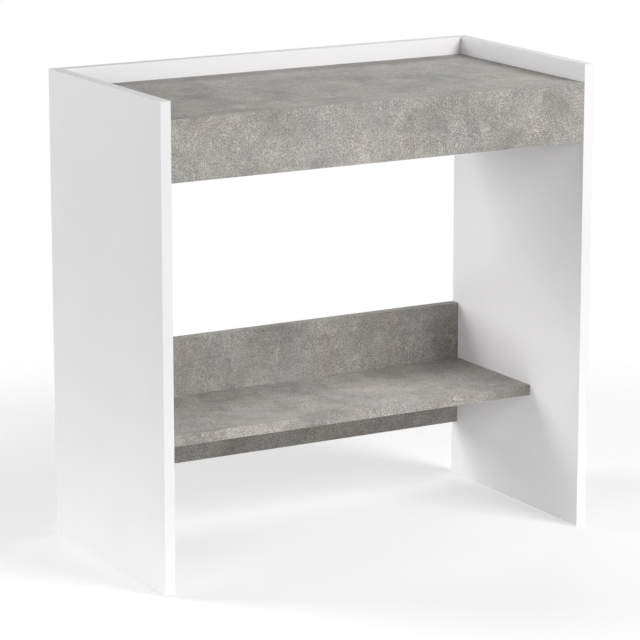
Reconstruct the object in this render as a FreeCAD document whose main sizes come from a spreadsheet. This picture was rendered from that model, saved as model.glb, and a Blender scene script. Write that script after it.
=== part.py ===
import FreeCAD, Part
import math
import os
import Sketcher

# Secretary desk: two board sides, an upstand, an apron and a hidden compartment
# under a worktop that tips up as a lid, with a low shelf and a low back rail.
# Millimetres. +X right, +Y to the back, +Z up. Origin: centre of the footprint, on the floor.

doc = FreeCAD.newDocument("secretary_desk")
sheet = doc.addObject("Spreadsheet::Sheet", "sizes")

DRIVING_SIZES = [
    # overall
    ("width", 810),
    ("depth", 403),
    ("height", 800),
    ("board", 18),
    ("edging", 0.8),
    ("glide_height", 2),
    # levels and heights
    ("worktop_level", 770),
    ("apron_height", 100),
    ("floor_rise", 4),
    ("rail_bottom", 100),
    ("rail_height", 220),
    ("shelf_level", 219),
    ("shelf_depth", 235.5),
    # lid
    ("lid_side_gap", 1),
    ("lid_front_gap", 1),
    ("lid_rear_gap", 1.5),
    ("pivot_setback", 45),
    ("open_angle", 95),
    ("stop_gap", 0.3),
    ("batten_size", 18),
    ("bumper_height", 1.5),
    ("bumper_diameter", 10),
    # pivots
    ("pin_diameter", 8),
    ("pin_seat", 14),
    ("pin_reach", 21),
    ("pin_flange", 0.6),
    ("pin_flange_rim", 2),
    ("pin_chamfer", 0.8),
    ("bush_diameter", 12),
    ("bush_length", 25),
    # fits
    ("fit_gap", 0.05),
    ("bore_relief", 0.5),
    # cam bolts
    ("bolt_setback", 34),
    ("bolt_thread_diameter", 4.8),
    ("bolt_thread_length", 11),
    ("bolt_tip_taper", 0.8),
    ("bolt_tip_length", 1.5),
    ("bolt_bore_diameter", 8),
    ("bolt_collar_diameter", 7.6),
    ("bolt_collar_length", 2.5),
    ("bolt_shank_diameter", 5),
    ("bolt_head_diameter", 6.8),
    ("bolt_head_length", 2.8),
    ("bolt_head_dome", 0.8),
    ("bolt_dome_diameter", 4.4),
    # cams and covers
    ("cam_diameter", 14.8),
    ("cam_pocket_depth", 13.2),
    ("cam_floor_gap", 0.1),
    ("cam_cover_gap", 0.2),
    ("cam_channel_reach", 3),
    ("driver_slot_length", 6),
    ("driver_slot_width", 1.2),
    ("driver_slot_depth", 2),
    ("cover_thickness", 1.2),
    ("cover_chamfer", 0.3),
    # dowels
    ("dowel_diameter", 8),
    ("dowel_short_end", 11),
    ("dowel_long_end", 23),
    ("dowel_chamfer", 1),
    # shelf screws
    ("screw_head_diameter", 10),
    ("screw_neck_diameter", 7),
    ("screw_neck_taper", 0.8),
    ("screw_thread_diameter", 5.8),
    ("screw_length", 50),
    ("screw_head_depth", 5),
    ("screw_tip_diameter", 2.4),
    ("screw_tip_length", 4),
    ("socket_diameter", 4.6),
    ("socket_depth", 2.5),
    ("cap_gap", 0.1),
    # batten screws
    ("batten_screw_diameter", 4),
    ("batten_screw_head", 7.8),
    ("batten_screw_length", 28),
    ("batten_screw_tip", 3),
    ("batten_screw_relief", 4),
    ("pan_seat_depth", 3),
    ("pan_seat_gap", 0.2),
    ("pan_wall_height", 1.6),
    ("pan_round", 1.2),
    ("pan_sink", 0.4),
    ("pan_socket_diameter", 3.2),
    ("pan_socket_depth", 1.4),
    # bumpers and glides
    ("bumper_draft", 0.4),
    ("bumper_round_side", 1.2),
    ("bumper_round_height", 0.3),
    ("glide_diameter", 16),
    ("glide_foot_inset", 2.2),
    ("glide_rim_inset", 0.6),
    ("glide_rim_height", 0.6),
    ("glide_top_inset", 1.2),
    ("nail_diameter", 2.2),
    ("nail_length", 12),
    ("nail_point", 2),
]
for row, (alias, number) in enumerate(DRIVING_SIZES, start=1):
    sheet.set(f"A{row}", alias)
    sheet.set(f"B{row}", str(number))
    sheet.setAlias(f"B{row}", alias)
doc.recompute()


# ---------------------------------------------------------------- expressions

def size(alias):
    return f"sizes.{alias}"


def plus(*terms):
    return "(" + " + ".join(str(term) for term in terms) + ")"


def minus(first, second):
    return f"({first} - {second})"


def negative(term):
    return f"(-1 * {term})"


def half(alias):
    return f"(sizes.{alias} / 2)"


def along(start, length, *shares):
    """Places at these shares of a length, counted from its start."""
    return [f"({start} + {share} * {length})" for share in shares]


BOARD = size("board")
HALF_BOARD = half("board")
OUTER_RIGHT = half("width")
OUTER_LEFT = negative(OUTER_RIGHT)
INNER_RIGHT = minus(OUTER_RIGHT, BOARD)
INNER_LEFT = negative(INNER_RIGHT)
BACK = half("depth")
FRONT = negative(BACK)
BEHIND_APRON = plus(FRONT, BOARD)
BEFORE_RAIL = minus(BACK, BOARD)
APRON_MIDDLE = plus(FRONT, HALF_BOARD)
RAIL_MIDDLE = minus(BACK, HALF_BOARD)

PANEL_BOTTOM = size("glide_height")
BOX_BOTTOM = "(sizes.worktop_level - sizes.apron_height)"
FLOOR_BOTTOM = plus(BOX_BOTTOM, size("floor_rise"))
FLOOR_TOP = plus(FLOOR_BOTTOM, BOARD)
FLOOR_MIDDLE = plus(FLOOR_BOTTOM, HALF_BOARD)
LOW_RAIL_TOP = "(sizes.rail_bottom + sizes.rail_height)"
SHELF_BOTTOM = "(sizes.shelf_level - sizes.board)"
SHELF_MIDDLE = "(sizes.shelf_level - sizes.board / 2)"
SHELF_FRONT = minus(BEFORE_RAIL, size("shelf_depth"))

LID_BOTTOM = "(sizes.worktop_level - sizes.board)"
LID_RIGHT = minus(INNER_RIGHT, size("lid_side_gap"))
LID_LEFT = negative(LID_RIGHT)
LID_FRONT = plus(BEHIND_APRON, size("lid_front_gap"))
LID_BACK = minus(BEFORE_RAIL, size("lid_rear_gap"))
PIVOT_Y = minus(LID_BACK, size("pivot_setback"))
PIVOT_Z = "(sizes.worktop_level - sizes.board / 2)"

BATTEN_TOP = minus(LID_BOTTOM, size("bumper_height"))
BATTEN_BOTTOM = minus(BATTEN_TOP, size("batten_size"))
BATTEN_MIDDLE = "(sizes.worktop_level - sizes.board - sizes.bumper_height - sizes.batten_size / 2)"
# The opened lid's lower face leans on the rear ends of the battens, so each batten ends
# where that tilted face stands at the level of the batten's lower edge.
LEAN = "(sizes.open_angle * 1 deg)"
STOP_DROP = f"({PIVOT_Z} - {BATTEN_BOTTOM})"
STOP_REACH = f"(sizes.board / 2 / sin{LEAN} - {STOP_DROP} * cos{LEAN} / sin{LEAN})"
BATTEN_BACK = f"({PIVOT_Y} - {STOP_REACH} - sizes.stop_gap)"

# Fastener places, as shares of the board that they join, from its low or front end
DEPTH = size("depth")
APRON_HEIGHT = size("apron_height")
RAIL = (size("rail_bottom"), size("rail_height"))
SHELF = (SHELF_FRONT, size("shelf_depth"))
APRON_CAM_Z = along(BOX_BOTTOM, APRON_HEIGHT, 0.5)
APRON_DOWEL_Z = along(BOX_BOTTOM, APRON_HEIGHT, 0.2, 0.8)
UPSTAND_CAM_Z = along(BOX_BOTTOM, APRON_HEIGHT, 0.62)
UPSTAND_DOWEL_Z = along(BOX_BOTTOM, APRON_HEIGHT, 0.2) + [minus(size("height"), HALF_BOARD)]
FLOOR_CAM_Y = along(FRONT, DEPTH, 0.2, 0.8)
FLOOR_DOWEL_Y = along(FRONT, DEPTH, 0.38, 0.62)
RAIL_CAM_Z = along(*RAIL, 0.18, 0.82)
RAIL_DOWEL_Z = along(*RAIL, 0.35, 0.65)
SHELF_CAM_Y = along(*SHELF, 0.19)
SHELF_DOWEL_Y = along(*SHELF, 0.45, 0.8)
SHELF_SCREW_X = along(OUTER_LEFT, size("width"), 0.12, 0.37, 0.63, 0.88)
BATTEN_SCREW_Y = along(FRONT, DEPTH, 0.13, 0.42, 0.7)
BUMPER_Y = along(FRONT, DEPTH, 0.1, 0.64)
GLIDE_Y = along(FRONT, DEPTH, 0.1, 0.9)
CAM_X = minus(INNER_RIGHT, size("bolt_setback"))


# ---------------------------------------------------------------- modelling helpers

SKETCH_PLANES = {
    # plane role, indices of the two in-plane axes, index of the normal, sign of the normal
    "X": ("YZ_Plane", (1, 2), 0, 1),
    "Y": ("XZ_Plane", (0, 2), 1, -1),
    "Z": ("XY_Plane", (0, 1), 2, 1),
}


def origin_plane(body, role):
    return next(plane for plane in body.Origin.OriginFeatures if plane.Role == role)


def place(item, spot):
    for axis, expression in zip("xyz", spot):
        item.setExpression(f".Placement.Base.{axis}", expression)


def new_sketch(body, across, level):
    role, _, _, sign = SKETCH_PLANES[across]
    sketch = body.newObject("Sketcher::SketchObject", "outline")
    sketch.AttachmentSupport = [(origin_plane(body, role), "")]
    sketch.MapMode = "FlatFace"
    sketch.setExpression(".AttachmentOffset.Base.z", f"{sign} * {level}")
    return sketch


def pin_point(sketch, geometry, point, start, target):
    for kind, value, expression in zip(("DistanceX", "DistanceY"), start, target):
        index = sketch.addConstraint(Sketcher.Constraint(kind, -1, 1, geometry, point, value))
        sketch.setExpression(f"Constraints[{index}]", str(expression))


def add_polygon(sketch, corners):
    count = len(corners)
    starts = []
    for index in range(count):
        turn = math.pi * (2 * index + 1) / count - math.pi
        starts.append((30 + 10 * math.cos(turn), 30 + 10 * math.sin(turn)))
    for index in range(count):
        begin = FreeCAD.Vector(*starts[index], 0)
        end = FreeCAD.Vector(*starts[(index + 1) % count], 0)
        sketch.addGeometry(Part.LineSegment(begin, end), False)
    for index in range(count):
        sketch.addConstraint(Sketcher.Constraint("Coincident", index, 2, (index + 1) % count, 1))
    for index in range(count):
        pin_point(sketch, index, 1, starts[index], corners[index])


def add_circles(sketch, diameter, centres):
    for number, centre in enumerate(centres):
        start = (20.0 * (number + 1), 20.0)
        circle = Part.Circle(FreeCAD.Vector(*start, 0), FreeCAD.Vector(0, 0, 1), 4)
        index = sketch.addGeometry(circle, False)
        constraint = sketch.addConstraint(Sketcher.Constraint("Diameter", index, 8.0))
        sketch.setExpression(f"Constraints[{constraint}]", diameter)
        pin_point(sketch, index, 3, start, centre)


def board(label, low, high, bores=()):
    """A rectangular board between two corners, drilled by each (across, toward, level, diameter,
    depth, places) in bores: drilled across that axis, toward +1 or -1 along it, from that level."""
    body = doc.addObject("PartDesign::Body", label)
    outline = new_sketch(body, "Z", 0)
    length, width, thickness = [minus(top, bottom) for bottom, top in zip(low, high)]
    add_polygon(outline, [(0, 0), (length, 0), (length, width), (0, width)])
    pad = body.newObject("PartDesign::Pad", "blank")
    pad.Profile = outline
    pad.setExpression("Length", thickness)
    outline.Visibility = False
    for across, toward, level, diameter, depth, places in bores:
        _, in_plane, normal, sign = SKETCH_PLANES[across]
        sketch = new_sketch(body, across, minus(level, low[normal]))
        centres = []
        for spot in places:
            centres.append([minus(value, low[axis]) for value, axis in zip(spot, in_plane)])
        add_circles(sketch, diameter, centres)
        pocket = body.newObject("PartDesign::Pocket", "bore")
        pocket.Profile = sketch
        pocket.setExpression("Length", depth)
        pocket.Reversed = toward == sign
        sketch.Visibility = False
    place(body, low)
    doc.recompute()
    return body


def strip(low, high):
    """A plain strip of edging between two corners."""
    item = doc.addObject("Part::Box", "strip")
    for name, bottom, top in zip(("Length", "Width", "Height"), low, high):
        item.setExpression(name, minus(top, bottom))
    place(item, low)
    return item


def turned(label, profile):
    """A turned piece: the (radius, level) profile spun about the piece's own Z axis."""
    body = doc.addObject("PartDesign::Body", label)
    sketch = new_sketch(body, "Y", 0)
    add_polygon(sketch, profile)
    spin = body.newObject("PartDesign::Revolution", "turning")
    spin.Profile = sketch
    spin.ReferenceAxis = (sketch, ["V_Axis"])
    spin.Angle = 360
    sketch.Visibility = False
    doc.recompute()
    return body


def copy_of(master, spot, aim, side=None):
    """A copy of a master piece with its own Z axis along aim and, where given, its X axis along side."""
    item = doc.addObject("App::Link", f"{master.Label}_copy")
    item.LinkedObject = master
    if side is None:
        turn = FreeCAD.Rotation(FreeCAD.Vector(0, 0, 1), FreeCAD.Vector(*aim))
    else:
        z_axis = FreeCAD.Vector(*aim)
        x_axis = FreeCAD.Vector(*side)
        turn = FreeCAD.Rotation(x_axis, z_axis.cross(x_axis), z_axis, "ZXY")
    item.Placement = FreeCAD.Placement(FreeCAD.Vector(0, 0, 0), turn)
    place(item, spot)
    return item


def group(label, items):
    result = doc.addObject("Part::Compound", label)
    result.Links = items
    doc.recompute()
    return result


def mirrored(spots):
    """The same places on the left and on the right."""
    return [(negative(x), y, z) for x, y, z in spots] + list(spots)


# ---------------------------------------------------------------- bores

FIT = "2 * sizes.fit_gap"
THREAD_BORE = f"sizes.bolt_thread_diameter + {FIT}"
BOLT_BORE = size("bolt_bore_diameter")
CAM_BORE = f"sizes.cam_diameter + {FIT}"
DOWEL_BORE = f"sizes.dowel_diameter + {FIT}"
PIN_BORE = f"sizes.pin_diameter + {FIT}"
BUSH_BORE = f"sizes.bush_diameter + {FIT}"
NAIL_BORE = f"sizes.nail_diameter + {FIT}"
BATTEN_SCREW_BORE = f"sizes.batten_screw_diameter + {FIT}"
PAN_SEAT_BORE = "sizes.batten_screw_head + 2 * sizes.pan_seat_gap"
SCREW_NECK_BORE = f"sizes.screw_neck_diameter + {FIT}"
SCREW_HEAD_BORE = f"sizes.screw_head_diameter + {FIT}"
SCREW_THREAD_BORE = f"sizes.screw_thread_diameter + {FIT}"
THREAD_DEPTH = "sizes.bolt_thread_length + sizes.bore_relief"
BOLT_DEPTH = "sizes.bolt_setback + sizes.bore_relief"
SHORT_DEPTH = "sizes.dowel_short_end + sizes.bore_relief"
LONG_DEPTH = "sizes.dowel_long_end + sizes.bore_relief"
SCREW_HEAD_DEPTH = "sizes.screw_head_depth + sizes.fit_gap"
SCREW_THREAD_DEPTH = "sizes.screw_length - sizes.board + sizes.bore_relief"
BUSH_DEPTH = "sizes.bush_length + sizes.bore_relief - sizes.edging"

side_bolts = [(APRON_MIDDLE, z) for z in APRON_CAM_Z]
side_bolts += [(RAIL_MIDDLE, z) for z in UPSTAND_CAM_Z]
side_bolts += [(y, FLOOR_MIDDLE) for y in FLOOR_CAM_Y]
side_bolts += [(RAIL_MIDDLE, z) for z in RAIL_CAM_Z]
side_bolts += [(y, SHELF_MIDDLE) for y in SHELF_CAM_Y]
side_dowels = [(APRON_MIDDLE, z) for z in APRON_DOWEL_Z]
side_dowels += [(RAIL_MIDDLE, z) for z in UPSTAND_DOWEL_Z]
side_dowels += [(y, FLOOR_MIDDLE) for y in FLOOR_DOWEL_Y]
side_dowels += [(RAIL_MIDDLE, z) for z in RAIL_DOWEL_Z]
side_dowels += [(y, SHELF_MIDDLE) for y in SHELF_DOWEL_Y]
batten_screws_yz = [(y, BATTEN_MIDDLE) for y in BATTEN_SCREW_Y]


def side_bores(inner_face, toward):
    screw_depth = "sizes.batten_screw_length - sizes.batten_size + sizes.batten_screw_relief"
    glide_spots = [(plus(inner_face, f"{toward} * {HALF_BOARD}"), y) for y in GLIDE_Y]
    return [
        ("X", toward, inner_face, THREAD_BORE, THREAD_DEPTH, side_bolts),
        ("X", toward, inner_face, DOWEL_BORE, SHORT_DEPTH, side_dowels),
        ("X", toward, inner_face, BATTEN_SCREW_BORE, screw_depth, batten_screws_yz),
        ("X", toward, inner_face, PIN_BORE, "sizes.pin_seat + sizes.bore_relief", [(PIVOT_Y, PIVOT_Z)]),
        ("Z", 1, PANEL_BOTTOM, NAIL_BORE, "sizes.nail_length + sizes.bore_relief", glide_spots),
    ]


def upright_ends(middle_y, bolt_levels, dowel_levels):
    """Bolt and dowel bores in both ends of an upright board that spans between the sides."""
    return end_bores([(middle_y, z) for z in bolt_levels], [(middle_y, z) for z in dowel_levels])


def flat_ends(middle_z, bolt_rows, dowel_rows):
    """The same for a flat board."""
    return end_bores([(y, middle_z) for y in bolt_rows], [(y, middle_z) for y in dowel_rows])


def end_bores(bolts, dowels):
    result = []
    for face, toward in ((INNER_LEFT, 1), (INNER_RIGHT, -1)):
        result.append(("X", toward, face, BOLT_BORE, BOLT_DEPTH, bolts))
        result.append(("X", toward, face, DOWEL_BORE, LONG_DEPTH, dowels))
    return result


def cam_pockets(across, toward, face, others):
    """Cam pockets near both ends, sunk in one face; others are the places along the end."""
    spots = [(side, other) for side in (negative(CAM_X), CAM_X) for other in others]
    return [(across, toward, face, CAM_BORE, size("cam_pocket_depth"), spots)]


# ---------------------------------------------------------------- white boards

EDGE = size("edging")
SIDE_FRONT = plus(FRONT, EDGE)
SIDE_BACK = minus(BACK, EDGE)
SIDE_TOP = minus(size("height"), EDGE)

nodes = []
nodes.append(board("left_side_panel", (OUTER_LEFT, SIDE_FRONT, PANEL_BOTTOM),
                   (INNER_LEFT, SIDE_BACK, SIDE_TOP), side_bores(INNER_LEFT, -1)))
nodes.append(board("right_side_panel", (INNER_RIGHT, SIDE_FRONT, PANEL_BOTTOM),
                   (OUTER_RIGHT, SIDE_BACK, SIDE_TOP), side_bores(INNER_RIGHT, 1)))

upstand_bores = upright_ends(RAIL_MIDDLE, UPSTAND_CAM_Z, UPSTAND_DOWEL_Z)
upstand_bores += cam_pockets("Y", 1, BEFORE_RAIL, UPSTAND_CAM_Z)
nodes.append(board("upper_back_rail", (INNER_LEFT, BEFORE_RAIL, plus(BOX_BOTTOM, EDGE)),
                   (INNER_RIGHT, BACK, SIDE_TOP), upstand_bores))

floor_bores = flat_ends(FLOOR_MIDDLE, FLOOR_CAM_Y, FLOOR_DOWEL_Y)
floor_bores += cam_pockets("Z", 1, FLOOR_BOTTOM, FLOOR_CAM_Y)
nodes.append(board("compartment_floor", (INNER_LEFT, BEHIND_APRON, FLOOR_BOTTOM),
                   (INNER_RIGHT, BEFORE_RAIL, FLOOR_TOP), floor_bores))


def batten(label, wall, toward):
    """A square batten on a side's inner face, counterbored for pan-head screws."""
    inner = plus(wall, f"{toward} * sizes.batten_size")
    low_x, high_x = (wall, inner) if toward > 0 else (inner, wall)
    bores = [
        ("X", -toward, inner, BATTEN_SCREW_BORE, size("batten_size"), batten_screws_yz),
        ("X", -toward, inner, PAN_SEAT_BORE, size("pan_seat_depth"), batten_screws_yz),
    ]
    return board(label, (low_x, BEHIND_APRON, BATTEN_BOTTOM), (high_x, BATTEN_BACK, BATTEN_TOP), bores)


nodes.append(batten("left_lid_batten", INNER_LEFT, 1))
nodes.append(batten("right_lid_batten", INNER_RIGHT, -1))

# ---------------------------------------------------------------- grey boards

apron_bores = upright_ends(APRON_MIDDLE, APRON_CAM_Z, APRON_DOWEL_Z)
apron_bores += cam_pockets("Y", -1, BEHIND_APRON, APRON_CAM_Z)
nodes.append(board("front_apron", (INNER_LEFT, FRONT, plus(BOX_BOTTOM, EDGE)),
                   (INNER_RIGHT, BEHIND_APRON, minus(size("worktop_level"), EDGE)), apron_bores))

SCREW_SPOTS = [(x, SHELF_MIDDLE) for x in SHELF_SCREW_X]
rail_bores = upright_ends(RAIL_MIDDLE, RAIL_CAM_Z, RAIL_DOWEL_Z)
rail_bores += cam_pockets("Y", -1, BACK, RAIL_CAM_Z)
rail_bores.append(("Y", -1, BACK, SCREW_NECK_BORE, BOARD, SCREW_SPOTS))
rail_bores.append(("Y", -1, BACK, SCREW_HEAD_BORE, SCREW_HEAD_DEPTH, SCREW_SPOTS))
nodes.append(board("lower_back_rail", (INNER_LEFT, BEFORE_RAIL, plus(size("rail_bottom"), EDGE)),
                   (INNER_RIGHT, BACK, minus(LOW_RAIL_TOP, EDGE)), rail_bores))

shelf_bores = flat_ends(SHELF_MIDDLE, SHELF_CAM_Y, SHELF_DOWEL_Y)
shelf_bores += cam_pockets("Z", 1, SHELF_BOTTOM, SHELF_CAM_Y)
shelf_bores.append(("Y", -1, BEFORE_RAIL, SCREW_THREAD_BORE, SCREW_THREAD_DEPTH, SCREW_SPOTS))
nodes.append(board("lower_shelf", (INNER_LEFT, plus(SHELF_FRONT, EDGE), SHELF_BOTTOM),
                   (INNER_RIGHT, BEFORE_RAIL, size("shelf_level")), shelf_bores))

PIVOT_SPOT = [(PIVOT_Y, PIVOT_Z)]
lid_bores = [
    ("X", 1, plus(LID_LEFT, EDGE), BUSH_BORE, BUSH_DEPTH, PIVOT_SPOT),
    ("X", -1, minus(LID_RIGHT, EDGE), BUSH_BORE, BUSH_DEPTH, PIVOT_SPOT),
]
nodes.append(board("lid_panel", (plus(LID_LEFT, EDGE), plus(LID_FRONT, EDGE), LID_BOTTOM),
                   (minus(LID_RIGHT, EDGE), minus(LID_BACK, EDGE), size("worktop_level")), lid_bores))

# ---------------------------------------------------------------- edging


def side_edging(label, low_x, high_x):
    """Strips along the front, back and top of a side."""
    return group(label, [
        strip((low_x, FRONT, PANEL_BOTTOM), (high_x, SIDE_FRONT, SIDE_TOP)),
        strip((low_x, SIDE_BACK, PANEL_BOTTOM), (high_x, BACK, SIDE_TOP)),
        strip((low_x, FRONT, SIDE_TOP), (high_x, BACK, size("height"))),
    ])


def rail_edging(label, front, back, bottom, top):
    """Strips along the lower and upper edge of a board that stands between the sides."""
    return group(label, [
        strip((INNER_LEFT, front, bottom), (INNER_RIGHT, back, plus(bottom, EDGE))),
        strip((INNER_LEFT, front, minus(top, EDGE)), (INNER_RIGHT, back, top)),
    ])


nodes.append(side_edging("left_side_edging", OUTER_LEFT, INNER_LEFT))
nodes.append(side_edging("right_side_edging", INNER_RIGHT, OUTER_RIGHT))
nodes.append(rail_edging("upper_rail_edging", BEFORE_RAIL, BACK, BOX_BOTTOM, size("height")))
nodes.append(rail_edging("apron_edging", FRONT, BEHIND_APRON, BOX_BOTTOM, size("worktop_level")))
nodes.append(rail_edging("lower_rail_edging", BEFORE_RAIL, BACK, size("rail_bottom"), LOW_RAIL_TOP))
nodes.append(group("shelf_edging", [
    strip((INNER_LEFT, SHELF_FRONT, SHELF_BOTTOM),
          (INNER_RIGHT, plus(SHELF_FRONT, EDGE), size("shelf_level"))),
]))


def lid_end_strip(name, low_x, high_x):
    """The lid's end edging, bored through where the bush passes."""
    return board(name, (low_x, plus(LID_FRONT, EDGE), LID_BOTTOM),
                 (high_x, minus(LID_BACK, EDGE), size("worktop_level")),
                 [("X", -1, high_x, BUSH_BORE, EDGE, PIVOT_SPOT)])


nodes.append(group("lid_edging", [
    strip((LID_LEFT, LID_FRONT, LID_BOTTOM),
          (LID_RIGHT, plus(LID_FRONT, EDGE), size("worktop_level"))),
    strip((LID_LEFT, minus(LID_BACK, EDGE), LID_BOTTOM),
          (LID_RIGHT, LID_BACK, size("worktop_level"))),
    lid_end_strip("left_end_strip", LID_LEFT, plus(LID_LEFT, EDGE)),
    lid_end_strip("right_end_strip", minus(LID_RIGHT, EDGE), LID_RIGHT),
]))

# ---------------------------------------------------------------- pivots

PIN_RADIUS = half("pin_diameter")
PIN_TIP_RADIUS = minus(PIN_RADIUS, size("pin_chamfer"))
FLANGE_RADIUS = plus(PIN_RADIUS, size("pin_flange_rim"))
pin_profile = [
    ("0", negative(size("pin_seat"))),
    (PIN_TIP_RADIUS, negative(size("pin_seat"))),
    (PIN_RADIUS, negative(minus(size("pin_seat"), size("pin_chamfer")))),
    (PIN_RADIUS, "0"),
    (FLANGE_RADIUS, "0"),
    (FLANGE_RADIUS, size("pin_flange")),
    (PIN_RADIUS, size("pin_flange")),
    (PIN_RADIUS, minus(size("pin_reach"), size("pin_chamfer"))),
    (PIN_TIP_RADIUS, size("pin_reach")),
    ("0", size("pin_reach")),
]
BUSH_INNER_RADIUS = plus(PIN_RADIUS, size("fit_gap"))
bush_profile = [
    (BUSH_INNER_RADIUS, "0"),
    (half("bush_diameter"), "0"),
    (half("bush_diameter"), size("bush_length")),
    (BUSH_INNER_RADIUS, size("bush_length")),
]


def turned_in_place(label, profile, spot, aim):
    body = turned(label, profile)
    turn = FreeCAD.Rotation(FreeCAD.Vector(0, 0, 1), FreeCAD.Vector(*aim))
    body.Placement = FreeCAD.Placement(FreeCAD.Vector(0, 0, 0), turn)
    place(body, spot)
    doc.recompute()
    return body


nodes.append(turned_in_place("left_pivot_pin", pin_profile, (INNER_LEFT, PIVOT_Y, PIVOT_Z), (1, 0, 0)))
nodes.append(turned_in_place("right_pivot_pin", pin_profile, (INNER_RIGHT, PIVOT_Y, PIVOT_Z), (-1, 0, 0)))
nodes.append(turned_in_place("left_pivot_bush", bush_profile, (LID_LEFT, PIVOT_Y, PIVOT_Z), (1, 0, 0)))
nodes.append(turned_in_place("right_pivot_bush", bush_profile, (LID_RIGHT, PIVOT_Y, PIVOT_Z), (-1, 0, 0)))

# ---------------------------------------------------------------- cam fittings

THREAD_RADIUS = half("bolt_thread_diameter")
HEAD_END = plus(size("bolt_setback"), "sizes.bolt_head_dome / 2")
HEAD_WALL_END = minus(HEAD_END, size("bolt_head_dome"))
HEAD_START = minus(HEAD_WALL_END, size("bolt_head_length"))
bolt_master = turned("bolt_master", [
    ("0", negative(size("bolt_thread_length"))),
    (minus(THREAD_RADIUS, size("bolt_tip_taper")), negative(size("bolt_thread_length"))),
    (THREAD_RADIUS, negative(minus(size("bolt_thread_length"), size("bolt_tip_length")))),
    (THREAD_RADIUS, "0"),
    (half("bolt_collar_diameter"), "0"),
    (half("bolt_collar_diameter"), size("bolt_collar_length")),
    (half("bolt_shank_diameter"), size("bolt_collar_length")),
    (half("bolt_shank_diameter"), HEAD_START),
    (half("bolt_head_diameter"), HEAD_START),
    (half("bolt_head_diameter"), HEAD_WALL_END),
    (half("bolt_dome_diameter"), HEAD_END),
    ("0", HEAD_END),
])

bolt_spots = [(INNER_RIGHT, y, z) for y, z in side_bolts]
bolts = [copy_of(bolt_master, (negative(x), y, z), (1, 0, 0)) for x, y, z in bolt_spots]
bolts += [copy_of(bolt_master, spot, (-1, 0, 0)) for spot in bolt_spots]
nodes.append(group("cam_bolts", bolts))


def cylinder(radius, height, spot=("0", "0", "0"), aim=(0, 0, 1)):
    item = doc.addObject("Part::Cylinder", "cylinder")
    item.setExpression("Radius", radius)
    item.setExpression("Height", height)
    turn = FreeCAD.Rotation(FreeCAD.Vector(0, 0, 1), FreeCAD.Vector(*aim))
    item.Placement = FreeCAD.Placement(FreeCAD.Vector(0, 0, 0), turn)
    place(item, spot)
    return item


def cam_master():
    """A cam: a short drum with a channel for the bolt's head and a cross recess for the driver."""
    drum_bottom = negative(minus(size("cam_pocket_depth"), size("cam_floor_gap")))
    drum_top = negative(plus(size("cover_thickness"), size("cam_cover_gap")))
    drum = cylinder(half("cam_diameter"), minus(drum_top, drum_bottom), ("0", "0", drum_bottom))
    reach = size("cam_channel_reach")
    channel = cylinder(half("bolt_bore_diameter"), plus(half("cam_diameter"), reach),
                       (negative(reach), "0", negative(HALF_BOARD)), (1, 0, 0))
    slot_bottom = minus(drum_top, size("driver_slot_depth"))
    slot_reach = half("driver_slot_length")
    slot_side = half("driver_slot_width")
    slots = [
        strip((negative(slot_reach), negative(slot_side), slot_bottom), (slot_reach, slot_side, "0")),
        strip((negative(slot_side), negative(slot_reach), slot_bottom), (slot_side, slot_reach, "0")),
    ]
    cutters = doc.addObject("Part::MultiFuse", "cam_cutters")
    cutters.Shapes = [channel] + slots
    cam = doc.addObject("Part::Cut", "cam_master")
    cam.Base = drum
    cam.Tool = cutters
    doc.recompute()
    return cam


def cover(label, radius):
    """A round plastic cover, chamfered round its face."""
    chamfer = size("cover_chamfer")
    return turned(label, [
        ("0", negative(size("cover_thickness"))),
        (radius, negative(size("cover_thickness"))),
        (radius, negative(chamfer)),
        (minus(radius, chamfer), "0"),
        ("0", "0"),
    ])


cover_master = cover("cover_master", half("cam_diameter"))

# Each cam group: the pocket's outward direction, with its places on the right-hand end.
hidden_front_cams = ((0, 1, 0), [(CAM_X, BEHIND_APRON, z) for z in APRON_CAM_Z])
hidden_upstand_cams = ((0, -1, 0), [(CAM_X, BEFORE_RAIL, z) for z in UPSTAND_CAM_Z])
floor_cams = ((0, 0, -1), [(CAM_X, y, FLOOR_BOTTOM) for y in FLOOR_CAM_Y])
rail_cams = ((0, 1, 0), [(CAM_X, BACK, z) for z in RAIL_CAM_Z])
shelf_cams = ((0, 0, -1), [(CAM_X, y, SHELF_BOTTOM) for y in SHELF_CAM_Y])


def both_ends(master, cam_groups):
    copies = []
    for outward, spots in cam_groups:
        for x, y, z in spots:
            copies.append(copy_of(master, (x, y, z), outward, (1, 0, 0)))
            copies.append(copy_of(master, (negative(x), y, z), outward, (-1, 0, 0)))
    return copies


cam = cam_master()
white_cams = [hidden_upstand_cams, floor_cams]
grey_cams = [hidden_front_cams, rail_cams, shelf_cams]
nodes.append(group("cam_locks", both_ends(cam, white_cams + grey_cams)))
nodes.append(group("white_cam_covers", both_ends(cover_master, white_cams)))
nodes.append(group("grey_cam_covers", both_ends(cover_master, grey_cams)))

# ---------------------------------------------------------------- dowels, screws, bumpers, glides

DOWEL_RADIUS = half("dowel_diameter")
DOWEL_TIP_RADIUS = minus(DOWEL_RADIUS, size("dowel_chamfer"))
dowel_master = turned("dowel_master", [
    ("0", negative(size("dowel_short_end"))),
    (DOWEL_TIP_RADIUS, negative(size("dowel_short_end"))),
    (DOWEL_RADIUS, negative(minus(size("dowel_short_end"), size("dowel_chamfer")))),
    (DOWEL_RADIUS, minus(size("dowel_long_end"), size("dowel_chamfer"))),
    (DOWEL_TIP_RADIUS, size("dowel_long_end")),
    ("0", size("dowel_long_end")),
])
dowel_spots = [(INNER_RIGHT, y, z) for y, z in side_dowels]
dowels = [copy_of(dowel_master, (negative(x), y, z), (1, 0, 0)) for x, y, z in dowel_spots]
dowels += [copy_of(dowel_master, spot, (-1, 0, 0)) for spot in dowel_spots]
nodes.append(group("wood_dowels", dowels))

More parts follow.
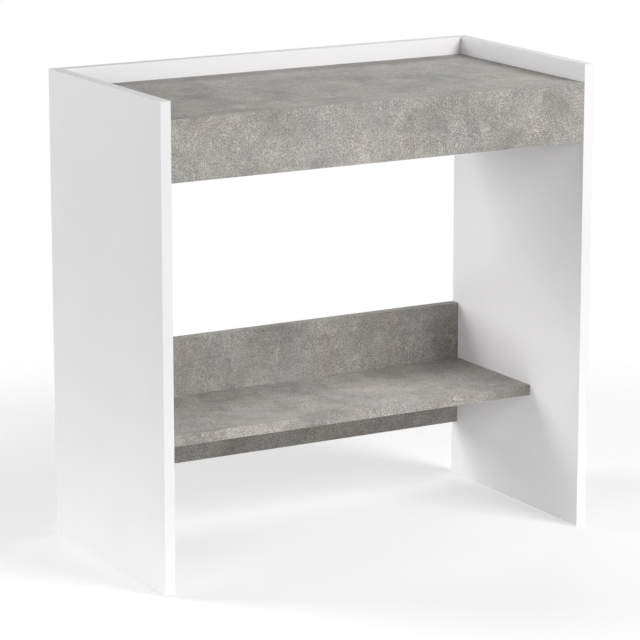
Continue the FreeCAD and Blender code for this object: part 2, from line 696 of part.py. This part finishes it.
SCREW_TOP = negative(plus(size("cover_thickness"), size("cap_gap")))
SOCKET_BOTTOM = minus(SCREW_TOP, size("socket_depth"))
screw_master = turned("shelf_screw_master", [
    ("0", negative(size("screw_length"))),
    (half("screw_tip_diameter"), negative(size("screw_length"))),
    (half("screw_thread_diameter"), negative(minus(size("screw_length"), size("screw_tip_length")))),
    (half("screw_thread_diameter"), negative(BOARD)),
    (half("screw_neck_diameter"), negative(minus(BOARD, size("screw_neck_taper")))),
    (half("screw_neck_diameter"), negative(size("screw_head_depth"))),
    (half("screw_head_diameter"), negative(size("screw_head_depth"))),
    (half("screw_head_diameter"), SCREW_TOP),
    (half("socket_diameter"), SCREW_TOP),
    (half("socket_diameter"), SOCKET_BOTTOM),
    ("0", SOCKET_BOTTOM),
])
cap_master = cover("screw_cap_master", half("screw_head_diameter"))
screw_spots = [(x, BACK, z) for x, z in SCREW_SPOTS]
nodes.append(group("shelf_screws", [copy_of(screw_master, spot, (0, 1, 0)) for spot in screw_spots]))
nodes.append(group("shelf_screw_caps", [copy_of(cap_master, spot, (0, 1, 0)) for spot in screw_spots]))

PAN_SEAT = negative(size("pan_seat_depth"))
POINT_START = negative(minus(size("batten_screw_length"), size("batten_screw_tip")))
PAN_TOP = negative(size("pan_sink"))
batten_screw_master = turned("batten_screw_master", [
    ("0", negative(size("batten_screw_length"))),
    (half("batten_screw_diameter"), POINT_START),
    (half("batten_screw_diameter"), PAN_SEAT),
    (half("batten_screw_head"), PAN_SEAT),
    (half("batten_screw_head"), plus(PAN_SEAT, size("pan_wall_height"))),
    (minus(half("batten_screw_head"), size("pan_round")), PAN_TOP),
    (half("pan_socket_diameter"), PAN_TOP),
    ("0", minus(PAN_TOP, size("pan_socket_depth"))),
])
BATTEN_FACE = minus(INNER_RIGHT, size("batten_size"))
batten_screws = []
for y, z in batten_screws_yz:
    batten_screws.append(copy_of(batten_screw_master, (BATTEN_FACE, y, z), (-1, 0, 0)))
    batten_screws.append(copy_of(batten_screw_master, (negative(BATTEN_FACE), y, z), (1, 0, 0)))
nodes.append(group("batten_screws", batten_screws))

BUMPER_RADIUS = half("bumper_diameter")
BUMPER_SHOULDER = minus(size("bumper_height"), size("bumper_round_height"))
bumper_master = turned("bumper_master", [
    ("0", "0"),
    (BUMPER_RADIUS, "0"),
    (minus(BUMPER_RADIUS, size("bumper_draft")), BUMPER_SHOULDER),
    (minus(BUMPER_RADIUS, size("bumper_round_side")), size("bumper_height")),
    ("0", size("bumper_height")),
])
BUMPER_X = minus(INNER_RIGHT, half("batten_size"))
bumper_spots = mirrored([(BUMPER_X, y, BATTEN_TOP) for y in BUMPER_Y])
nodes.append(group("lid_bumpers", [copy_of(bumper_master, spot, (0, 0, 1)) for spot in bumper_spots]))

GLIDE_RADIUS = half("glide_diameter")
NAIL_TIP = plus(size("glide_height"), size("nail_length"))
glide_master = turned("glide_master", [
    ("0", "0"),
    (minus(GLIDE_RADIUS, size("glide_foot_inset")), "0"),
    (minus(GLIDE_RADIUS, size("glide_rim_inset")), size("glide_rim_height")),
    (minus(GLIDE_RADIUS, size("glide_top_inset")), size("glide_height")),
    (half("nail_diameter"), size("glide_height")),
    (half("nail_diameter"), minus(NAIL_TIP, size("nail_point"))),
    ("0", NAIL_TIP),
])
GLIDE_X = minus(OUTER_RIGHT, HALF_BOARD)
glide_spots = mirrored([(GLIDE_X, y, "0") for y in GLIDE_Y])
nodes.append(group("floor_glides", [copy_of(glide_master, spot, (0, 0, 1)) for spot in glide_spots]))

# ---------------------------------------------------------------- checks and export

doc.recompute()
for item in doc.Objects:
    if "Invalid" in item.State or "Error" in item.State:
        raise RuntimeError(f"{item.Name} ({item.Label}) did not compute: {item.State}")
for node in nodes:
    if node.Shape.isNull() or not node.Shape.isValid():
        raise RuntimeError(f"{node.Label} has no valid shape")

os.makedirs("parts", exist_ok=True)
for node in nodes:
    node.Shape.exportStep(f"parts/{node.Label}.step")
    box = node.Shape.BoundBox
    print(f"{node.Label:20s} solids {len(node.Shape.Solids):2d}  {node.Shape.Volume / 1000:9.2f} cm3")
    print(f"    x {box.XMin:8.2f} {box.XMax:8.2f}  y {box.YMin:8.2f} {box.YMax:8.2f}"
          f"  z {box.ZMin:7.2f} {box.ZMax:7.2f}")
print("nodes", len(nodes))
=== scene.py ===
import math

import bpy
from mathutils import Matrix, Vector


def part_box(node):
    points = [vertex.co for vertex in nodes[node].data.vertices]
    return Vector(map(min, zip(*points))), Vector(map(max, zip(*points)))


# Looks, lights and camera for the secretary desk. Metres; +X right, +Y to the back, +Z up.

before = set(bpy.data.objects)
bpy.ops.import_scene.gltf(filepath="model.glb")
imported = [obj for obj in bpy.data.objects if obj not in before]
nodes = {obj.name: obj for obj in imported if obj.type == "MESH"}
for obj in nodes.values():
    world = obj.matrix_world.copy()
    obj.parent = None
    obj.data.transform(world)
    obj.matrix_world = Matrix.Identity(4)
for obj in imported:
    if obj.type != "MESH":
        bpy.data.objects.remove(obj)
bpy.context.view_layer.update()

# Each board with its edge bands: the two share one decor, and their joint box places the edge wear.
WHITE_BOARDS = {
    "left_side_panel": "left_side_edging",
    "right_side_panel": "right_side_edging",
    "upper_back_rail": "upper_rail_edging",
    "compartment_floor": None,
    "left_lid_batten": None,
    "right_lid_batten": None,
}
CONCRETE_BOARDS = {
    "lid_panel": "lid_edging",
    "front_apron": "apron_edging",
    "lower_shelf": "shelf_edging",
    "lower_back_rail": "lower_rail_edging",
}
EDGE_ROUNDING = 0.00022
ROUNDING_SEGMENTS = 2
WEAR_WIDTH = 0.0018


# ------------------------------------------------------------------ node helpers

NOISE_MIDDLE = 0.5


class Shader:
    """A material's node tree, with short calls for the nodes used here."""

    def __init__(self, name, base, roughness, metallic=0.0, specular=0.5):
        self.material = bpy.data.materials.new(name)
        self.material.use_nodes = True
        self.tree = self.material.node_tree
        self.surface = self.tree.nodes["Principled BSDF"]
        self.surface.inputs["Base Color"].default_value = (*base, 1)
        self.surface.inputs["Roughness"].default_value = roughness
        self.surface.inputs["Metallic"].default_value = metallic
        self.surface.inputs["Specular IOR Level"].default_value = specular

    def put(self, kind, links=(), **settings):
        """A new node; links are (socket, value) pairs, where a value is a number, a tuple or an output."""
        node = self.tree.nodes.new(kind)
        for name, value in settings.items():
            setattr(node, name, value)
        for socket, value in links:
            target = node.inputs[socket]
            if isinstance(value, bpy.types.NodeSocket):
                self.tree.links.new(value, target)
            else:
                target.default_value = value
        return node

    def drive(self, socket, value):
        self.tree.links.new(value, self.surface.inputs[socket])

    def place(self):
        """Coordinates on the object in metres."""
        return self.put("ShaderNodeTexCoord").outputs["Object"]

    def scaled(self, factors):
        """Coordinates on the object, scaled along each axis; a factor under 1 draws the pattern out."""
        links = (("Vector", self.place()), ("Scale", factors))
        return self.put("ShaderNodeMapping", links).outputs["Vector"]

    def on_sheet(self, cut):
        """Coordinates on a printed sheet that wraps over the board: across it, and back to front then down.
        cut is where on the sheet this board begins."""
        split = self.put("ShaderNodeSeparateXYZ", ((0, self.place()),)).outputs
        down = self.sum(split["Y"], split["Z"])
        sheet = self.put("ShaderNodeCombineXYZ", (("X", split["X"]), ("Y", down))).outputs["Vector"]
        return self.put("ShaderNodeVectorMath", ((0, sheet), (1, cut)), operation="ADD").outputs["Vector"]

    def stirred(self, where, per_metre, reach):
        """Coordinates pushed about by up to reach, so that what follows them curls."""
        links = (("Vector", where), ("Scale", per_metre), ("Detail", 2.0))
        push = self.put("ShaderNodeTexNoise", links).outputs["Color"]
        links = ((0, push), (1, (reach,) * 3), (2, where))
        return self.put("ShaderNodeVectorMath", links, operation="MULTIPLY_ADD").outputs["Vector"]

    def leaning(self, where, degrees, length):
        """Coordinates drawn out along a line that leans by so many degrees."""
        links = (("Vector", where), ("Rotation", (0, 0, math.radians(degrees))), ("Scale", (length, 1, 1)))
        return self.put("ShaderNodeMapping", links, vector_type="TEXTURE").outputs["Vector"]

    def threads(self, where, per_metre, width):
        """Thin light threads along the middle values of a noise."""
        off_middle = self.sum(self.noise(where, per_metre, detail=1.0), -NOISE_MIDDLE)
        distance = self.put("ShaderNodeMath", ((0, off_middle),), operation="ABSOLUTE").outputs[0]
        return self.ramp(distance, 0.0, width, 1.0, 0.0)

    def noise(self, where, per_metre, detail=3.0, rough=0.55, distortion=0.0):
        links = (("Vector", where), ("Scale", per_metre), ("Detail", detail),
                 ("Roughness", rough), ("Distortion", distortion))
        return self.put("ShaderNodeTexNoise", links).outputs["Fac"]

    def ramp(self, value, low, high, to_low=0.0, to_high=1.0):
        """value eased from low..high to to_low..to_high."""
        links = ((0, value), (1, low), (2, high), (3, to_low), (4, to_high))
        node = self.put("ShaderNodeMapRange", links, interpolation_type="SMOOTHSTEP", clamp=True)
        return node.outputs[0]

    def sum(self, *values):
        total = values[0]
        for value in values[1:]:
            total = self.put("ShaderNodeMath", ((0, total), (1, value)), operation="ADD").outputs[0]
        return total

    def product(self, first, second):
        return self.put("ShaderNodeMath", ((0, first), (1, second)), operation="MULTIPLY").outputs[0]

    def mix(self, factor, first, second):
        links = ((0, factor), (6, first), (7, second))
        return self.put("ShaderNodeMix", links, data_type="RGBA").outputs[2]

    def shaded(self, colour, shade):
        """A colour made lighter or darker by a factor about 1."""
        return self.put("ShaderNodeVectorMath", ((0, colour), (3, shade)), operation="SCALE").outputs[0]

    def edge_mask(self, low, high, width):
        """1 along the edges of a box and 0 inside its faces, fading over width."""
        centre = tuple((a + b) / 2 for a, b in zip(low, high))
        inner = tuple((b - a) / 2 - width for a, b in zip(low, high))
        steps = (
            ("SUBTRACT", centre),
            ("ABSOLUTE", None),
            ("SUBTRACT", inner),
            ("DIVIDE", (width,) * 3),
            ("MAXIMUM", (0, 0, 0)),
            ("MINIMUM", (1, 1, 1)),
            ("DOT_PRODUCT", (1, 1, 1)),
        )
        value = self.place()
        for operation, operand in steps:
            links = [(0, value)] + ([(1, operand)] if operand else [])
            node = self.put("ShaderNodeVectorMath", links, operation=operation)
            value = node.outputs["Value" if operation == "DOT_PRODUCT" else "Vector"]
        # The value counts the box's faces nearby: one on a face, two on an edge, three at a corner.
        return self.ramp(value, 1.0, 2.0)

    def relief(self, height, depth):
        links = (("Height", height), ("Distance", depth), ("Strength", 1.0))
        self.drive("Normal", self.put("ShaderNodeBump", links).outputs["Normal"])


# ------------------------------------------------------------------ board materials

# The part of a noise's range that a ramp spreads over.
WIDE = (0.30, 0.70)
MEDIUM = (0.35, 0.65)
NARROW = (0.40, 0.60)

CONCRETE_COOL = (0.311, 0.306, 0.290, 1)
CONCRETE_WARM = (0.333, 0.314, 0.292, 1)
CONCRETE_ROUGHNESS = (0.62, 0.47)
CONCRETE_RELIEF = 0.00008
CLOUD_TONES = (0.79, 0.97)
PATCH_RANGE = (0.32, 0.68)
PATCH_TONE = 0.09
BLOTCH_RANGE = (0.34, 0.66)
BLOTCH_TONE = 0.07
GRAIN_TONE = 0.34
THREAD_TONE = 0.50
RUBBED_RANGE = (0.42, 0.68)
RUBBED_TONE = 0.16
# Two sets of threads cross: the lean of each, and the lean of the areas where it shows, in degrees.
THREAD_LEANS = ((58, 0), (-52, 90))
# How much further along the printed sheet each next board is cut, in metres.
NEXT_CUT = (0.73, 0.41)

WHITE = (0.802, 0.792, 0.800, 1)
WHITE_SHADE = (0.787, 0.777, 0.785, 1)
WHITE_ROUGHNESS = (0.46, 0.54)
WHITE_RELIEF = 0.00005
PEARL_TONES = (0.985, 1.01)
GRUB_RANGE = (0.45, 0.72)
GRUB_TONE = -0.10
WORN_GLOSS = -0.08


def concrete_laminate(name, cut, low, high):
    """Matt printed concrete: clouds and patches under a dense net of fine, light trowel threads."""
    look = Shader(name, CONCRETE_WARM[:3], roughness=0.55, specular=0.3)
    sheet = look.on_sheet(cut)
    clouds = look.noise(sheet, per_metre=5.0, detail=3.0, rough=0.5, distortion=0.5)
    patches = look.noise(sheet, per_metre=19.0, detail=5.0, rough=0.65, distortion=0.7)
    curled = look.stirred(sheet, per_metre=30.0, reach=0.02)
    blotches = look.noise(curled, per_metre=75.0, detail=3.0, rough=0.65)
    upright = look.leaning(sheet, degrees=90, length=2.0)
    tint = look.noise(upright, per_metre=11.0, detail=3.0, rough=0.5, distortion=0.3)
    grain = look.noise(sheet, per_metre=430.0, detail=2.0, rough=0.8)
    stirred = look.stirred(sheet, per_metre=22.0, reach=0.05)

    threads = []
    for lean, field_lean in THREAD_LEANS:
        long_field = look.leaning(sheet, field_lean, length=1.5)
        field = look.noise(long_field, per_metre=14.0, detail=3.0, rough=0.6)
        fine = look.threads(look.leaning(stirred, lean, length=4.0), per_metre=330.0, width=0.06)
        threads.append(look.product(fine, look.ramp(field, *NARROW)))

    wear = look.edge_mask(low, high, WEAR_WIDTH)
    rubbing = look.noise(sheet, per_metre=90.0, detail=3.0, rough=0.7)
    rubbed = look.product(wear, look.ramp(rubbing, *RUBBED_RANGE))
    shade = look.sum(
        look.ramp(clouds, *WIDE, *CLOUD_TONES),
        look.ramp(patches, *PATCH_RANGE, -PATCH_TONE, PATCH_TONE),
        look.ramp(blotches, *BLOTCH_RANGE, -BLOTCH_TONE, BLOTCH_TONE),
        look.ramp(grain, *WIDE, -GRAIN_TONE, GRAIN_TONE),
        look.product(look.sum(*threads), THREAD_TONE),
        look.product(rubbed, RUBBED_TONE),
    )
    colour = look.mix(look.ramp(tint, *NARROW), CONCRETE_COOL, CONCRETE_WARM)
    look.drive("Base Color", look.shaded(colour, shade))
    look.drive("Roughness", look.ramp(grain, *WIDE, *CONCRETE_ROUGHNESS))
    look.relief(look.sum(grain, *threads), CONCRETE_RELIEF)
    return look.material


def white_laminate(name, low, high):
    """Matt white melamine: a pearl texture, the faintest clouding, and edges a little rubbed and grubby."""
    look = Shader(name, WHITE[:3], roughness=0.5, specular=0.4)
    where = look.place()
    haze = look.noise(where, per_metre=5.0, detail=3.0)
    pearl = look.noise(where, per_metre=800.0, detail=2.0)
    handling = look.noise(where, per_metre=45.0, detail=4.0, rough=0.7)
    wear = look.edge_mask(low, high, WEAR_WIDTH)
    grub = look.product(wear, look.ramp(handling, *GRUB_RANGE))
    shade = look.sum(look.ramp(pearl, *WIDE, *PEARL_TONES), look.product(grub, GRUB_TONE))
    colour = look.mix(look.ramp(haze, *MEDIUM), WHITE_SHADE, WHITE)
    look.drive("Base Color", look.shaded(colour, shade))
    matt = look.ramp(handling, *WIDE, *WHITE_ROUGHNESS)
    look.drive("Roughness", look.sum(matt, look.product(wear, WORN_GLOSS)))
    look.relief(pearl, WHITE_RELIEF)
    return look.material


# ------------------------------------------------------------------ fitting materials

ZINC_COOL = (0.56, 0.57, 0.58, 1)
ZINC_STRAW = (0.66, 0.64, 0.56, 1)
ZINC_ROUGHNESS = (0.24, 0.42)
CAST_DARK = (0.44, 0.44, 0.45, 1)
CAST_LIGHT = (0.58, 0.58, 0.57, 1)
CAST_ROUGHNESS = (0.42, 0.62)
MOULDED_SHADE = 0.93
MOULDED_UNEVENNESS = 0.07
BEECH_DARK = (0.50, 0.35, 0.21, 1)
BEECH_LIGHT = (0.66, 0.50, 0.33, 1)
BEECH_ROUGHNESS = (0.68, 0.52)
FLECK_RANGE = (0.62, 0.70)
FLECK_TONES = (1.0, 0.75)


def zinc_plated(name):
    """Bright zinc on turned steel: faint turning marks and a cool and straw mottling."""
    look = Shader(name, (0.60, 0.60, 0.58), roughness=0.32, metallic=1.0)
    mottle = look.noise(look.place(), per_metre=260.0, detail=3.0)
    marks = look.noise(look.scaled((1.0, 0.15, 0.15)), per_metre=5200.0, detail=1.0)
    look.drive("Base Color", look.mix(look.ramp(mottle, *NARROW), ZINC_COOL, ZINC_STRAW))
    look.drive("Roughness", look.ramp(marks, *WIDE, *ZINC_ROUGHNESS))
    look.relief(marks, depth=0.00001)
    return look.material


def die_cast(name):
    """Dull grey die-cast zinc alloy with a fine cast skin."""
    look = Shader(name, (0.50, 0.50, 0.50), roughness=0.5, metallic=1.0)
    skin = look.noise(look.place(), per_metre=1500.0, detail=3.0, rough=0.6)
    look.drive("Base Color", look.mix(skin, CAST_DARK, CAST_LIGHT))
    look.drive("Roughness", look.ramp(skin, *WIDE, *CAST_ROUGHNESS))
    look.relief(skin, depth=0.00003)
    return look.material


def moulded(name, base, roughness):
    """Moulded plastic or rubber with an eroded tool texture."""
    look = Shader(name, base, roughness, specular=0.45)
    skin = look.noise(look.place(), per_metre=1800.0, detail=2.0, rough=0.5)
    haze = look.noise(look.place(), per_metre=120.0, detail=3.0)
    shade = tuple(channel * MOULDED_SHADE for channel in base)
    look.drive("Base Color", look.mix(look.ramp(haze, *MEDIUM), (*shade, 1), (*base, 1)))
    spread = (roughness - MOULDED_UNEVENNESS, roughness + MOULDED_UNEVENNESS)
    look.drive("Roughness", look.ramp(skin, *WIDE, *spread))
    look.relief(skin, depth=0.00002)
    return look.material


def beech(name):
    """Pale beech with its grain and short flecks along the dowels, which all lie along X."""
    look = Shader(name, (0.60, 0.44, 0.28), roughness=0.6, specular=0.35)
    grain = look.noise(look.scaled((0.08, 1.0, 1.0)), per_metre=900.0, detail=4.0, rough=0.6, distortion=0.4)
    flecks = look.noise(look.scaled((0.2, 1.0, 1.0)), per_metre=1600.0, detail=1.0)
    colour = look.mix(look.ramp(grain, *MEDIUM), BEECH_DARK, BEECH_LIGHT)
    look.drive("Base Color", look.shaded(colour, look.ramp(flecks, *FLECK_RANGE, *FLECK_TONES)))
    look.drive("Roughness", look.ramp(grain, *WIDE, *BEECH_ROUGHNESS))
    look.relief(grain, depth=0.00005)
    return look.material


# ------------------------------------------------------------------ dressing the frame

def dress(node, material):
    node.data.materials.clear()
    node.data.materials.append(material)


def joint_box(names):
    """Lowest and highest corner of several nodes together."""
    corners = [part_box(name) for name in names]
    low = [min(corner[0][axis] for corner in corners) for axis in range(3)]
    high = [max(corner[1][axis] for corner in corners) for axis in range(3)]
    return low, high


def dress_boards(boards, make):
    for number, (board, edging) in enumerate(boards.items()):
        members = [board, edging] if edging else [board]
        material = make(board, number, *joint_box(members))
        for name in members:
            dress(nodes[name], material)
        if edging:
            rounding = nodes[edging].modifiers.new("rounding", "BEVEL")
            rounding.width = EDGE_ROUNDING
            rounding.segments = ROUNDING_SEGMENTS


def white_board(board, number, low, high):
    return white_laminate("white_" + board, low, high)


def concrete_board(board, number, low, high):
    cut = (NEXT_CUT[0] * number, NEXT_CUT[1] * number, 0)
    return concrete_laminate("concrete_" + board, cut, low, high)


dress_boards(WHITE_BOARDS, white_board)
dress_boards(CONCRETE_BOARDS, concrete_board)

WHITE_PLASTIC = (0.78, 0.78, 0.77)
GREY_PLASTIC = (0.30, 0.29, 0.275)
BLACK_ACETAL = (0.02, 0.02, 0.02)
CLEAR_GREY_RUBBER = (0.62, 0.62, 0.60)

FITTINGS = {
    zinc_plated("zinc_plated"): [
        "left_pivot_pin", "right_pivot_pin", "cam_bolts", "shelf_screws", "batten_screws"],
    die_cast("die_cast_zinc"): ["cam_locks"],
    moulded("white_plastic", WHITE_PLASTIC, roughness=0.5): ["white_cam_covers", "floor_glides"],
    moulded("grey_plastic", GREY_PLASTIC, roughness=0.55): ["grey_cam_covers", "shelf_screw_caps"],
    moulded("black_acetal", BLACK_ACETAL, roughness=0.4): ["left_pivot_bush", "right_pivot_bush"],
    moulded("bumper_rubber", CLEAR_GREY_RUBBER, roughness=0.6): ["lid_bumpers"],
    beech("beech"): ["wood_dowels"],
}
for material, names in FITTINGS.items():
    for name in names:
        dress(nodes[name], material)

# ------------------------------------------------------------------ stage

PURE_WHITE = (1, 1, 1, 1)
SURROUNDINGS_STRENGTH = 1.0
FLOOR_SIZE = 8
FLOOR_COLOUR = (0.50, 0.50, 0.50)
FLOOR_GLOW = 0.47
# The floor is whole within the first radius and gone by the second, in metres.
FLOOR_FADE = (0.65, 1.5)
SOFTBOX_SIZE = 1.6
SOFTBOX_DISTANCE = 4.0
SOFTBOX_AIM = Vector((0, 0, 0.4))
# Name, azimuth and elevation in degrees, and power in watts.
SOFTBOXES = [
    ("key_front_right", 25, 35, 134),
    ("low_front_right", 45, 12, 33),
    ("low_front_left", -50, 12, 49),
    ("low_back_left", -130, 12, 56),
    ("side_left", -130, 35, 63),
    ("back_right", 140, 35, 28),
]


def studio_floor():
    """A plain pale floor with a little light of its own, which fades into the pale surroundings."""
    bpy.ops.mesh.primitive_plane_add(size=FLOOR_SIZE)
    floor = bpy.context.object
    floor.name = "studio_floor"
    look = Shader("studio_floor", FLOOR_COLOUR, roughness=0.9, specular=0.2)
    look.surface.inputs["Emission Color"].default_value = PURE_WHITE
    look.surface.inputs["Emission Strength"].default_value = FLOOR_GLOW
    distance = look.put("ShaderNodeVectorMath", ((0, look.place()),), operation="LENGTH").outputs["Value"]
    look.drive("Alpha", look.ramp(distance, *FLOOR_FADE, 1.0, 0.0))
    floor.data.materials.append(look.material)


def softbox(name, azimuth, elevation, power):
    """A square soft light aimed at the desk: azimuth 0 is in front and 90 to the right, in degrees."""
    turn = math.radians(azimuth)
    rise = math.radians(elevation)
    away = Vector((math.sin(turn) * math.cos(rise), -math.cos(turn) * math.cos(rise), math.sin(rise)))
    data = bpy.data.lights.new(name, "AREA")
    data.shape = "SQUARE"
    data.size = SOFTBOX_SIZE
    data.energy = power
    light = bpy.data.objects.new(name, data)
    bpy.context.scene.collection.objects.link(light)
    light.location = SOFTBOX_AIM + away * SOFTBOX_DISTANCE
    light.rotation_euler = (-away).to_track_quat("-Z", "Y").to_euler()


studio_floor()
for name, azimuth, elevation, power in SOFTBOXES:
    softbox(name, azimuth, elevation, power)

world = bpy.data.worlds.new("studio")
bpy.context.scene.world = world
world.use_nodes = True
background = world.node_tree.nodes["Background"]
background.inputs["Color"].default_value = PURE_WHITE
background.inputs["Strength"].default_value = SURROUNDINGS_STRENGTH
world.cycles_visibility.diffuse = False
world.cycles_visibility.glossy = False
bpy.context.scene.view_settings.view_transform = "Standard"

# ------------------------------------------------------------------ camera

CAMERA_PLACE = (-2.638, -4.579, 1.579)
CAMERA_YAW = 29.9
CAMERA_PITCH = 12.9
CAMERA_LENS = 180.9
CAMERA_SENSOR = 36
CAMERA_NEAR = 0.1

camera_data = bpy.data.cameras.new("camera")
camera_data.sensor_width = CAMERA_SENSOR
camera_data.lens = CAMERA_LENS
camera_data.clip_start = CAMERA_NEAR
camera = bpy.data.objects.new("camera", camera_data)
camera.location = CAMERA_PLACE
camera.rotation_euler = (math.radians(90 - CAMERA_PITCH), 0, math.radians(-CAMERA_YAW))
bpy.context.scene.collection.objects.link(camera)
bpy.context.scene.camera = camera
